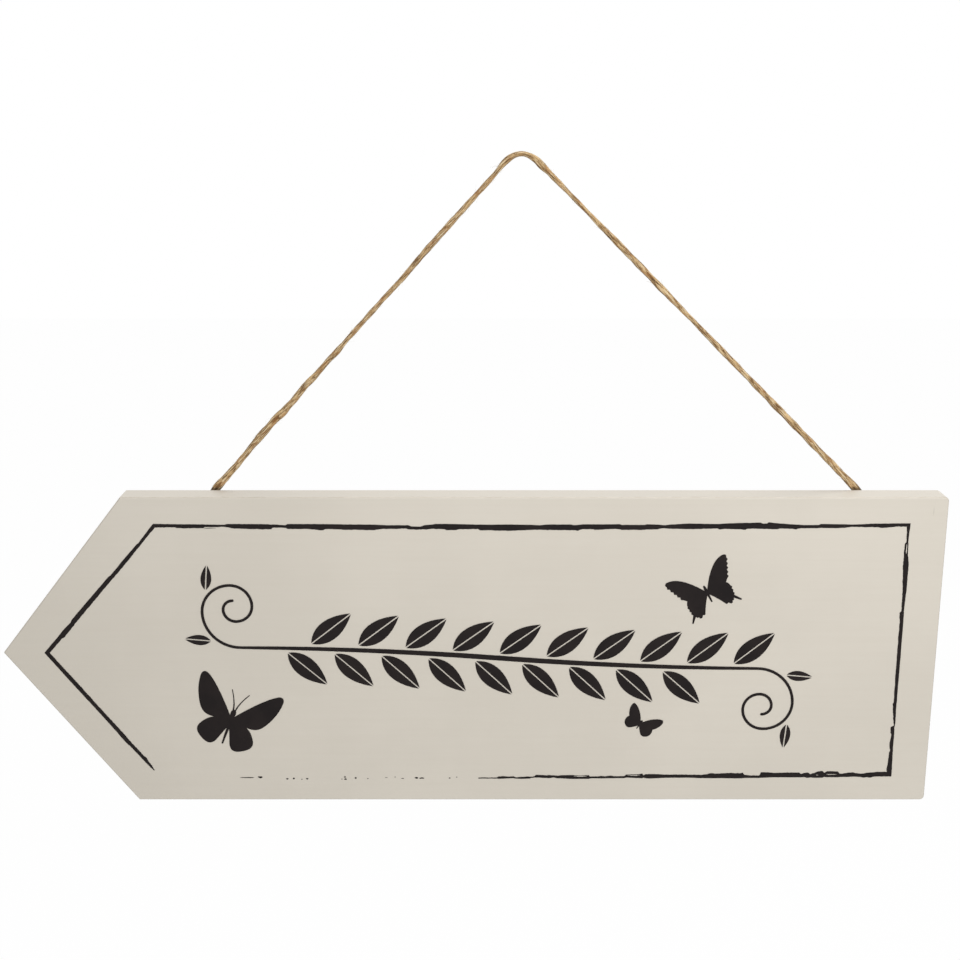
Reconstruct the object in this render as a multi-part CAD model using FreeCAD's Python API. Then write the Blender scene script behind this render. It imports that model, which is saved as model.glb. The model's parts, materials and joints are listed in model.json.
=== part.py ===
"""Wooden garden sign: an arrow-shaped board, printed on its front and hung on a cord stapled to its back.

Millimetres. The origin is the hook point, under the cord at its peak.
+X is the viewer's right, +Y is towards the wall and +Z is up.
"""

import FreeCAD
import Part

import math
import os

from FreeCAD import Vector

# Board
BOARD_LENGTH = 502.0  # from the arrow's tip to the right end
BOARD_HEIGHT = 173.5
BOARD_THICKNESS = 15.0
TIP_LENGTH = 68.0  # from the arrow's tip to its shoulders
EDGE_RADIUS = 0.8  # edges eased by sanding
END_CORNER_RADIUS = 2.4  # of the right end's outline

# Hanging cord, pulled straight between the hook and the board's back
CORD_DIAMETER = 3.1
HOOK_BEND_RADIUS = 11.4  # of the cord's centreline, round the hook
HANG_HEIGHT = 173.0  # from the hook point down to the board's top edge
HOOK_TO_RIGHT_END = 225.2
LEFT_FOOT_INSET = 47.3  # from the left shoulder to where the cord passes behind the board
RIGHT_FOOT_INSET = 44.9  # the same, from the right end
TAIL_DEPTH = 34.0  # the cord's ends lie this far below the top edge
CORD_CLEARANCE = 0.1  # between the cord and the board, and between the cord and a staple's crown

# Wire staples across each end of the cord
STAPLE_DEPTHS = (10.0, 24.0)  # below the top edge
STAPLE_CROWN = 10.6  # over both legs
STAPLE_LEG = 10.0  # overall height of a staple
STAPLE_WIRE_WIDTH = 1.2  # along the cord
STAPLE_WIRE_THICKNESS = 0.7
STAPLE_BEND_RADIUS = 1.0  # of the wire's centreline at the shoulders
STAPLE_POINT = 1.4  # height of the chisel point
STAPLE_HOLE_CLEARANCE = 0.05

# Print on the front
INK_THICKNESS = 0.2

# Brush-line border
BORDER_LINE = 2.6  # in the middle of a run
BORDER_CORNER_LINE = 1.6
BORDER_ROUGHNESS = 0.22  # share of the width by which the line's edges waver
BRISTLE_WAVES = ((0.6, 0.41, 1.0), (0.4, 1.13, 2.3))  # share of the waver, turn per mm and phase
BRUSH_STEP = 8.0  # between the brush marks along a line
BORDER_TOP_INSET = 15.5  # from the top edge to the line's middle
BORDER_BOTTOM_INSET = 14.0
BORDER_END_INSET = 20.2
BORDER_TIP_INSET = 23.0
BORDER_SHOULDER_INSET = 16.8  # from the left shoulder to the border's own shoulder
BORDER_LEG_GAP = 3.8  # how far the lower leg stops above the bottom line
BORDER_BOTTOM_START = 187.3  # from the left shoulder to where the bottom line sets in
DRY_MARK_STARTS = (56.0, 66.0, 81.0, 85.0, 91.0, 112.0, 118.0, 142.0, 151.0)  # from the left shoulder
DRY_MARK_LENGTHS = (7.5, 2.8, 2.0, 1.5, 2.0, 2.4, 1.6, 2.2, 4.6)
DRY_MARK_LINE = 0.9

# Leafy branch: a wavy stem between two curls
BRANCH_START = 60.0  # from the left shoulder
BRANCH_END_INSET = 96.0  # from the right end
BRANCH_DROP = 12.0  # the stem falls by this much from left to right
BRANCH_LOWER = 3.0  # its middle lies this far below the board's mid-height
STEM_WIDTH = 2.8
CURL_WIDTH = 1.5
CURL_RADIUS = 20.0  # of its first quarter turn
CURL_SHRINK = 0.76  # from one quarter turn to the next
CURL_QUARTERS = 6
CURL_LEAVES = 2
LEAF_LENGTH = 27.0
LEAF_WIDTH = 11.5
LEAF_ANGLE = 40.0  # from the stem, in degrees
LEAF_GAP = 6.5  # between neighbours on one side
LEAF_STEM_GAP = 0.8  # between a leaf and the stem
LEAF_RIB = 0.7  # unprinted rib along a leaf
CURL_LEAF_SCALE = 0.5

# Butterflies: wingspan, place of the body's middle and tilt to the left in degrees
LEFT_BUTTERFLY_SPAN = 46.0
LEFT_BUTTERFLY_INSET = 52.6  # from the left shoulder
LEFT_BUTTERFLY_DROP = 39.1  # below mid-height
LEFT_BUTTERFLY_TILT = -21.0
UPPER_BUTTERFLY_SPAN = 36.8
UPPER_BUTTERFLY_INSET = 124.9  # from the right end
UPPER_BUTTERFLY_RISE = 34.5  # above mid-height
UPPER_BUTTERFLY_TILT = 28.5
SMALL_BUTTERFLY_SPAN = 20.3
SMALL_BUTTERFLY_INSET = 158.3  # from the right end
SMALL_BUTTERFLY_DROP = 41.2  # below mid-height
SMALL_BUTTERFLY_TILT = -33.5
TOOTH_HEIGHT = 0.32  # of a tooth on a notched wing, over its length

# Places that follow from the sizes above
RIGHT_X = HOOK_TO_RIGHT_END
TIP_X = RIGHT_X - BOARD_LENGTH
SHOULDER_X = TIP_X + TIP_LENGTH
TOP_Z = -HANG_HEIGHT
BOTTOM_Z = TOP_Z - BOARD_HEIGHT
MIDDLE_Z = TOP_Z - BOARD_HEIGHT / 2
BACK_Y = -CORD_DIAMETER / 2 - CORD_CLEARANCE
FRONT_Y = BACK_Y - BOARD_THICKNESS
FACE_LENGTH = BOARD_LENGTH - TIP_LENGTH


def closed_line(points):
    return Part.makePolygon(points + points[:1])


def polygon(points, depth):
    """A straight-sided outline, pushed out along depth."""
    return Part.Face(closed_line(points)).extrude(depth)


def rectangle(middle, half_a, half_b):
    """The corners of a rectangle, in order, from its middle and its two half sides."""
    return [
        middle - half_a - half_b,
        middle + half_a - half_b,
        middle + half_a + half_b,
        middle - half_a + half_b,
    ]


# Cord and staples


def cord_feet():
    """Where the cord's centreline crosses the board's top edge, left and right."""
    left = Vector(SHOULDER_X + LEFT_FOOT_INSET, 0, TOP_Z)
    right = Vector(RIGHT_X - RIGHT_FOOT_INSET, 0, TOP_Z)
    return left, right


def bend_centre():
    return Vector(0, 0, CORD_DIAMETER / 2 - HOOK_BEND_RADIUS)


def leave_hook(foot):
    """The point where a straight leg from foot touches the bend round the hook."""
    centre = bend_centre()
    reach = foot - centre
    side = math.copysign(1, foot.x)
    angle = math.atan2(reach.z, reach.x) + side * math.acos(HOOK_BEND_RADIUS / reach.Length)
    return centre + Vector(math.cos(angle), 0, math.sin(angle)) * HOOK_BEND_RADIUS


def along_leg(foot, depth):
    """The point of the leg through foot that lies at a depth below the top edge."""
    touch = leave_hook(foot)
    return touch + (foot - touch) * ((touch.z - TOP_Z + depth) / (touch.z - TOP_Z))


def make_cord():
    """The cord as a round tube: one straight leg, the bend round the hook and the other leg."""
    left, right = cord_feet()
    leave_left = leave_hook(left)
    leave_right = leave_hook(right)
    peak = bend_centre() + Vector(0, 0, HOOK_BEND_RADIUS)
    start = along_leg(left, TAIL_DEPTH)
    path = Part.Wire(
        [
            Part.LineSegment(start, leave_left).toShape(),
            Part.Arc(leave_left, peak, leave_right).toShape(),
            Part.LineSegment(leave_right, along_leg(right, TAIL_DEPTH)).toShape(),
        ]
    )
    section = Part.Wire(Part.makeCircle(CORD_DIAMETER / 2, start, leave_left - start))
    tube = path.makePipeShell([section], True, False)
    print("cord bend radius", HOOK_BEND_RADIUS, "length", round(path.Length, 1))
    print("cord volume over section times length", tube.Volume / (Part.Face(section).Area * path.Length))
    return tube


def staple_places():
    """Each staple's middle on the board's back, with the direction of the cord that it crosses."""
    places = []
    for foot in cord_feet():
        along = (foot - leave_hook(foot)).normalize()
        for depth in STAPLE_DEPTHS:
            middle = along_leg(foot, depth)
            middle.y = BACK_Y
            places.append((middle, along))
    return places


def staple_leg_offset():
    """From a staple's middle to the middle of a leg."""
    return (STAPLE_CROWN - STAPLE_WIRE_THICKNESS) / 2


def staple_top():
    """The middle of the crown's wire, from the board's back."""
    return CORD_DIAMETER + 2 * CORD_CLEARANCE + STAPLE_WIRE_THICKNESS / 2


def staple_reach():
    """How deep the legs go into the board."""
    return STAPLE_LEG - staple_top() - STAPLE_WIRE_THICKNESS / 2


def make_staple(middle, along):
    """A staple bent from flat wire, with chisel points on its legs."""
    out = Vector(0, 1, 0)
    across = along.cross(out)

    def at(sideways, outwards):
        return middle + across * sideways + out * outwards

    leg = staple_leg_offset()
    top = staple_top()
    bottom = -staple_reach()
    bend = STAPLE_BEND_RADIUS
    lean = bend * (1 - math.sqrt(0.5))
    path = Part.Wire(
        [
            Part.LineSegment(at(-leg, bottom), at(-leg, top - bend)).toShape(),
            Part.Arc(at(-leg, top - bend), at(-leg + lean, top - lean), at(-leg + bend, top)).toShape(),
            Part.LineSegment(at(-leg + bend, top), at(leg - bend, top)).toShape(),
            Part.Arc(at(leg - bend, top), at(leg - lean, top - lean), at(leg, top - bend)).toShape(),
            Part.LineSegment(at(leg, top - bend), at(leg, bottom)).toShape(),
        ]
    )
    half_wire = across * (STAPLE_WIRE_THICKNESS / 2)
    half_width = along * (STAPLE_WIRE_WIDTH / 2)
    section = closed_line(rectangle(at(-leg, bottom), half_wire, half_width))
    wire = path.makePipeShell([section], True, False)
    for side in (-1, 1):
        inner = side * (leg - STAPLE_WIRE_THICKNESS / 2)
        outer = side * (leg + STAPLE_WIRE_THICKNESS / 2)
        bevel = [at(inner, bottom), at(outer, bottom), at(inner, bottom + STAPLE_POINT)]
        wire = wire.cut(polygon([p - half_width for p in bevel], half_width * 2))
    return wire


def make_leg_holes(middle, along):
    """The two holes that a staple's legs fill."""
    out = Vector(0, 1, 0)
    across = along.cross(out)
    half_wire = across * (STAPLE_WIRE_THICKNESS / 2 + STAPLE_HOLE_CLEARANCE)
    half_width = along * (STAPLE_WIRE_WIDTH / 2 + STAPLE_HOLE_CLEARANCE)
    depth = out * -(staple_reach() + STAPLE_HOLE_CLEARANCE)
    holes = []
    for side in (-1, 1):
        mouth = middle + across * (side * staple_leg_offset())
        holes.append(polygon(rectangle(mouth, half_wire, half_width), depth))
    return holes


# Board


def runs_through(edge):
    """Whether an edge of the board runs from its front to its back."""
    return edge.BoundBox.YLength > BOARD_THICKNESS / 2


def make_board():
    """The arrow, its right corners rounded and every edge eased, with the staples' leg holes in its back."""
    outline = [
        Vector(TIP_X, FRONT_Y, MIDDLE_Z),
        Vector(SHOULDER_X, FRONT_Y, TOP_Z),
        Vector(RIGHT_X, FRONT_Y, TOP_Z),
        Vector(RIGHT_X, FRONT_Y, BOTTOM_Z),
        Vector(SHOULDER_X, FRONT_Y, BOTTOM_Z),
    ]
    blank = polygon(outline, Vector(0, BOARD_THICKNESS, 0))
    end_corners = [edge for edge in blank.Edges if runs_through(edge) and edge.CenterOfMass.x > SHOULDER_X]
    rounded = blank.makeFillet(END_CORNER_RADIUS, end_corners)
    sharp = [edge for edge in rounded.Edges if not runs_through(edge) or edge.CenterOfMass.x < SHOULDER_X]
    board = rounded.makeFillet(EDGE_RADIUS, sharp)
    for middle, along in staple_places():
        board = board.cut(Part.makeCompound(make_leg_holes(middle, along)))
    return board.Solids[0]


# Print: shapes drawn on the front by their distance right of the left shoulder and above mid-height


def on_front(right, up):
    return Vector(SHOULDER_X + right, FRONT_Y, MIDDLE_Z + up)


def ink(edges):
    """A printed field, drawn by its edges in order, as a film on the front."""
    return Part.Face(Part.Wire(edges)).extrude(Vector(0, -INK_THICKNESS, 0))


def ink_polygon(points):
    return polygon([on_front(*p) for p in points], Vector(0, -INK_THICKNESS, 0))


def bezier(points):
    curve = Part.BezierCurve()
    curve.setPoles([on_front(*p) for p in points])
    return curve.toShape()


def smooth(points):
    curve = Part.BSplineCurve()
    curve.interpolate([on_front(*p) for p in points])
    return curve.toShape()


def arc(start, middle, end):
    return Part.Arc(on_front(*start), on_front(*middle), on_front(*end)).toShape()


def straight(start, end):
    return Part.LineSegment(on_front(*start), on_front(*end)).toShape()


def go(point, angle, distance):
    """The point reached from another by going a distance at an angle."""
    return point[0] + math.cos(angle) * distance, point[1] + math.sin(angle) * distance


def step_aside(point, heading, distance):
    """The point reached by a step to the left of a line with that heading."""
    return go(point, heading + math.pi / 2, distance)


def beside(points, index, distance):
    """The point reached by a step to the left of a line drawn through points."""
    before = points[max(index - 1, 0)]
    after = points[min(index + 1, len(points) - 1)]
    heading = math.atan2(after[1] - before[1], after[0] - before[0])
    return step_aside(points[index], heading, distance)


def pen_stroke(points, half_width):
    """A smooth line of changing width; half_width gives half of it at a share of the line's points."""
    last = len(points) - 1
    left = [beside(points, i, half_width(i / last)) for i in range(last + 1)]
    right = [beside(points, i, -half_width(i / last)) for i in range(last, -1, -1)]
    return ink([smooth(left), straight(left[-1], right[0]), smooth(right), straight(right[-1], left[0])])


def brush_half_width(share, distance, phase):
    """Half the line's width: it swells from the corners of a run and wavers with the bristles."""
    swell = BORDER_CORNER_LINE + (BORDER_LINE - BORDER_CORNER_LINE) * math.sin(math.pi * share)
    waver = sum(part * math.sin(turn * distance + shift * phase) for part, turn, shift in BRISTLE_WAVES)
    return swell / 2 * (1 + BORDER_ROUGHNESS * waver)


def corner_offset(before, corner, after):
    """The mitre at a corner, for an offset of one to the left of the line."""
    first = math.atan2(corner[1] - before[1], corner[0] - before[0])
    turn = math.atan2(after[1] - corner[1], after[0] - corner[0]) - first
    half_turn = math.atan2(math.sin(turn), math.cos(turn)) / 2
    stretch = 1 / math.cos(half_turn)
    return -math.sin(first + half_turn) * stretch, math.cos(first + half_turn) * stretch


def brush_edge(corners, side):
    """One edge of a brush line through corners, from its pointed start to its pointed end."""
    edge = []
    last = len(corners) - 1
    distance = 0.0
    for i in range(last):
        start, end = corners[i], corners[i + 1]
        run = math.dist(start, end)
        normal = ((start[1] - end[1]) / run, (end[0] - start[0]) / run)
        if i:
            mitre = corner_offset(corners[i - 1], start, end)
            edge.append([c + m * side * BORDER_CORNER_LINE / 2 for c, m in zip(start, mitre)])
        marks = max(3, round(run / BRUSH_STEP))
        for k in range(1, marks):
            offset = side * brush_half_width(k / marks, distance + run * k / marks, 1 + side)
            edge.append([a + (b - a) * k / marks + n * offset for a, b, n in zip(start, end, normal)])
        distance += run
    return edge


def brush_line(corners):
    left = brush_edge(corners, 1)
    right = brush_edge(corners, -1)
    return ink_polygon([corners[0]] + left + [corners[-1]] + right[::-1])


def make_border():
    """The open brush line round the front and the dry marks that lead up to its bottom run."""
    top = BOARD_HEIGHT / 2 - BORDER_TOP_INSET
    bottom = BORDER_BOTTOM_INSET - BOARD_HEIGHT / 2
    end = FACE_LENGTH - BORDER_END_INSET
    tip = (BORDER_TIP_INSET - TIP_LENGTH, 0.0)
    shoulder = (BORDER_SHOULDER_INSET, top)
    leg_stop = bottom + BORDER_LEG_GAP
    leg_end = (tip[0] + (tip[1] - leg_stop) * TIP_LENGTH / (BOARD_HEIGHT / 2), leg_stop)
    line = brush_line([(BORDER_BOTTOM_START, bottom), (end, bottom), (end, top), shoulder, tip, leg_end])
    prints = [line]
    half = DRY_MARK_LINE / 2
    for start, length in zip(DRY_MARK_STARTS, DRY_MARK_LENGTHS):
        corners = [(0.0, 0.0), (0.3, -half), (1.0, -0.3 * half), (0.6, half)]
        prints.append(ink_polygon([(start + share * length, bottom + up) for share, up in corners]))
    return Part.makeCompound(prints)


def stem_point(share):
    """A point of the stem's wave and the angle at which the stem runs there."""
    length = FACE_LENGTH - BRANCH_END_INSET - BRANCH_START
    up = BRANCH_DROP / 2 * math.cos(math.pi * share) - BRANCH_LOWER
    slope = -math.pi * BRANCH_DROP / 2 / length * math.sin(math.pi * share)
    return (BRANCH_START + length * share, up), math.atan(slope)


def stem_edge(shares, side):
    """One edge of the stem, left or right, as an arc to its thick middle and an arc from there."""
    points = []
    for share in shares:
        half = (CURL_WIDTH + (STEM_WIDTH - CURL_WIDTH) * math.sin(math.pi * share)) / 2
        points.append(step_aside(*stem_point(share), side * half))
    return [arc(*points[:3]), arc(*points[2:])]


def curl_quarters(share):
    """The centre, radius and first angle of each quarter turn, from the stem's end inwards."""
    angle = math.pi / 2 if share else -math.pi / 2
    middle = step_aside(*stem_point(share), -CURL_RADIUS if share else CURL_RADIUS)
    radius = CURL_RADIUS
    quarters = []
    for _ in range(CURL_QUARTERS):
        quarters.append((middle, radius, angle))
        angle -= math.pi / 2
        inwards = radius * (1 - CURL_SHRINK)
        middle = go(middle, angle, inwards)
        radius -= inwards
    return quarters


def curl_outline(share):
    """A curl's edges: its outside, its round end and its inside back to the stem."""
    half = CURL_WIDTH / 2
    outside = []
    inside = []
    for middle, radius, angle in curl_quarters(share):
        turns = [angle, angle - math.pi / 4, angle - math.pi / 2]
        outside.append(arc(*[go(middle, turn, radius + half) for turn in turns]))
        inside.append(arc(*[go(middle, turn, radius - half) for turn in turns[::-1]]))
    last = go(middle, turns[-1], radius)
    end = arc(*[go(last, turns[-1] - lean, half) for lean in (0, math.pi / 2, math.pi)])
    return outside + [end] + inside[::-1]


def half_leaf(base, angle, length, width, side):
    """The printed half of a leaf, left or right of its unprinted rib."""

    def at(forward, sideways):
        return step_aside(go(base, angle, forward * length), angle, side * sideways)

    rib = LEAF_RIB / 2
    root = at(0, rib)
    tip = at(1, rib)
    return ink([bezier([root, at(0.24, 0.66 * width), at(0.62, 0.62 * width), tip]), straight(tip, root)])


def leaf(point, heading, side, scale):
    """A leaf on one side of the line through a point, turned forwards along it."""
    base = step_aside(point, heading, side * (STEM_WIDTH / 2 + LEAF_STEM_GAP + LEAF_RIB))
    angle = heading + side * math.radians(LEAF_ANGLE)
    return [half_leaf(base, angle, LEAF_LENGTH * scale, LEAF_WIDTH * scale, half) for half in (-1, 1)]


def stem_leaves():
    """Leaves by turns above and below the stem, clear of the curl on either side."""
    start = stem_point(0)[0][0]
    length = stem_point(1)[0][0] - start
    pairs = round(length / (LEAF_WIDTH / math.sin(math.radians(LEAF_ANGLE)) + LEAF_GAP))
    bare = CURL_RADIUS / length
    leaf_reach = LEAF_LENGTH * math.cos(math.radians(LEAF_ANGLE)) / length
    prints = []
    for i in range(pairs):
        upper = (i + 0.5) / pairs
        lower = (i + 1) / pairs
        if upper > bare:
            prints += leaf(*stem_point(upper), 1, 1)
        if lower + leaf_reach < 1 - bare:
            prints += leaf(*stem_point(lower), -1, 1)
    return prints


def curl_leaves(share):
    """Small leaves on the outside of a curl, one in the middle of each of its first quarters."""
    prints = []
    for middle, radius, angle in curl_quarters(share)[:CURL_LEAVES]:
        turn = angle - math.pi / 4
        prints += leaf(go(middle, turn, radius), turn - math.pi / 2, 1, CURL_LEAF_SCALE)
    return prints


def make_branch():
    """A wavy stem that runs into a curl at each end, with leaves along both sides."""
    shares = [0, 0.25, 0.5, 0.75, 1]
    above = stem_edge(shares, 1)
    below = stem_edge(shares[::-1], -1)
    stem = ink(above + curl_outline(1) + below + curl_outline(0))
    return Part.makeCompound([stem] + stem_leaves() + curl_leaves(0) + curl_leaves(1))


def teeth(start, end, count):
    """A row of teeth from start to end, each standing out to the left."""
    heading = math.atan2(end[1] - start[1], end[0] - start[0])
    length = math.dist(start, end) / count
    sides = []
    for i in range(count):
        point = step_aside(go(start, heading, length * (i + 0.5)), heading, length * TOOTH_HEIGHT)
        sides.append([go(start, heading, length * i), point])
        sides.append([point, go(start, heading, length * (i + 1))])
    return sides


# The right wings for a wingspan of one, from the body's front round to its back


def long_wings():
    """A long round-tipped fore wing and a broad hind wing."""
    return [
        [(0.0, 0.02), (0.13, 0.19), (0.3, 0.39), (0.42, 0.467)],
        [(0.42, 0.467), (0.47, 0.5), (0.513, 0.485), (0.513, 0.42)],
        [(0.513, 0.42), (0.51, 0.28), (0.45, 0.13), (0.385, 0.04)],
        [(0.385, 0.04), (0.33, -0.03), (0.26, -0.035), (0.193, -0.024)],
        [(0.193, -0.024), (0.25, -0.045), (0.3, -0.1), (0.335, -0.17)],
        [(0.335, -0.17), (0.37, -0.25), (0.31, -0.3), (0.24, -0.34)],
        [(0.24, -0.34), (0.16, -0.385), (0.11, -0.365), (0.08, -0.29)],
        [(0.08, -0.29), (0.055, -0.22), (0.03, -0.14), (0.0, -0.07)],
    ]


def tailed_wings():
    """A curved fore wing and a hind wing with a thin tail, both with a notched edge."""
    return [
        [(0.0, 0.0), (0.1, 0.16), (0.26, 0.4), (0.44, 0.4)],
        [(0.44, 0.4), (0.47, 0.4), (0.505, 0.385), (0.478, 0.345)],
        *teeth((0.478, 0.345), (0.352, 0.05), 5),
        [(0.352, 0.05), (0.31, 0.007)],
        [(0.31, 0.007), (0.333, -0.025), (0.345, -0.069)],
        *teeth((0.345, -0.069), (0.33, -0.225), 3),
        [(0.33, -0.225), (0.398, -0.328)],
        [(0.398, -0.328), (0.393, -0.342), (0.378, -0.338)],
        [(0.378, -0.338), (0.305, -0.262)],
        *teeth((0.305, -0.262), (0.235, -0.325), 2),
        [(0.235, -0.325), (0.2, -0.287)],
        [(0.2, -0.287), (0.18, -0.3), (0.163, -0.283)],
        [(0.163, -0.283), (0.12, -0.2), (0.06, -0.1), (0.0, -0.03)],
    ]


def round_wings():
    """A round fore wing and a smaller round hind wing."""
    return [
        [(0.0, 0.02), (0.1, 0.2), (0.28, 0.38), (0.44, 0.41)],
        [(0.44, 0.41), (0.53, 0.42), (0.53, 0.2), (0.375, 0.0375)],
        [(0.375, 0.0375), (0.42, -0.03), (0.42, -0.12), (0.38, -0.18)],
        [(0.38, -0.18), (0.33, -0.255), (0.25, -0.28), (0.19, -0.25)],
        [(0.19, -0.25), (0.13, -0.21), (0.06, -0.12), (0.0, -0.06)],
    ]


def half_body(head, cheek, tail):
    """The right half of a slim body, from the top of its head past its cheek to the end of its tail."""
    neck = head - 0.1
    return [
        [(0.0, head), (cheek, head), (1.15 * cheek, head - 0.06), (0.02, neck)],
        [(0.02, neck), (0.02, 0.3 * neck), (0.016, 0.5 * tail), (0.01, tail)],
        [(0.01, tail), (0.0, tail)],
    ]


def half_outline(runs):
    """A shape's edges: a straight line, an arc or a curve for each run of two, three or four points."""
    draw = {2: straight, 3: arc, 4: lambda *points: bezier(points)}
    return [draw[len(run)](*run) for run in runs] + [straight(runs[-1][-1], runs[0][0])]


def make_butterfly(middle, span, tilt, wings, body, feelers):
    """A butterfly seen from above, drawn by its right half for a wingspan of one, then sized and placed."""
    forward = math.radians(90 + tilt)

    def place(point, side):
        return step_aside(go(middle, forward, span * point[1]), forward, -side * span * point[0])

    pieces = []
    for side in (-1, 1):
        for runs in (wings, body):
            pieces.append(ink(half_outline([[place(p, side) for p in run] for run in runs])))
        if feelers:
            feeler = [(0.012 + 0.095 * s**1.6, 0.12 + 0.258 * s) for s in (0, 0.25, 0.5, 0.75, 1)]
            pieces.append(pen_stroke([place(p, side) for p in feeler], lambda s: span * (0.009 - 0.005 * s)))
    return pieces[0].fuse(pieces[1:]).removeSplitter()


def make_butterflies():
    """One butterfly left of the branch, a tailed one above it and a small one below it."""
    left = (LEFT_BUTTERFLY_INSET, -LEFT_BUTTERFLY_DROP)
    upper = (FACE_LENGTH - UPPER_BUTTERFLY_INSET, UPPER_BUTTERFLY_RISE)
    small = (FACE_LENGTH - SMALL_BUTTERFLY_INSET, -SMALL_BUTTERFLY_DROP)
    long_body = half_body(0.14, 0.036, -0.32)
    thin_body = half_body(0.11, 0.02, -0.17)
    short_body = half_body(0.11, 0.036, -0.17)
    prints = [
        make_butterfly(left, LEFT_BUTTERFLY_SPAN, LEFT_BUTTERFLY_TILT, long_wings(), long_body, True),
        make_butterfly(upper, UPPER_BUTTERFLY_SPAN, UPPER_BUTTERFLY_TILT, tailed_wings(), thin_body, False),
        make_butterfly(small, SMALL_BUTTERFLY_SPAN, SMALL_BUTTERFLY_TILT, round_wings(), short_body, False),
    ]
    return Part.makeCompound(prints)


def main():
    os.makedirs("parts", exist_ok=True)
    nodes = {
        "board": make_board(),
        "hanging_cord": make_cord(),
        "staples": Part.makeCompound([make_staple(*place) for place in staple_places()]),
        "printed_border": make_border(),
        "printed_branch": make_branch(),
        "printed_butterflies": make_butterflies(),
    }
    for name, shape in nodes.items():
        shape.exportStep(f"parts/{name}.step")


main()
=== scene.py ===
"""Wooden garden sign: a painted arrow board with a brushed border, hung on a twisted jute cord.

Metres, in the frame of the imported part: +X is the viewer's right, +Y is towards the wall and +Z is up.
The origin is the hook point, under the cord at its peak.
"""

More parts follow.
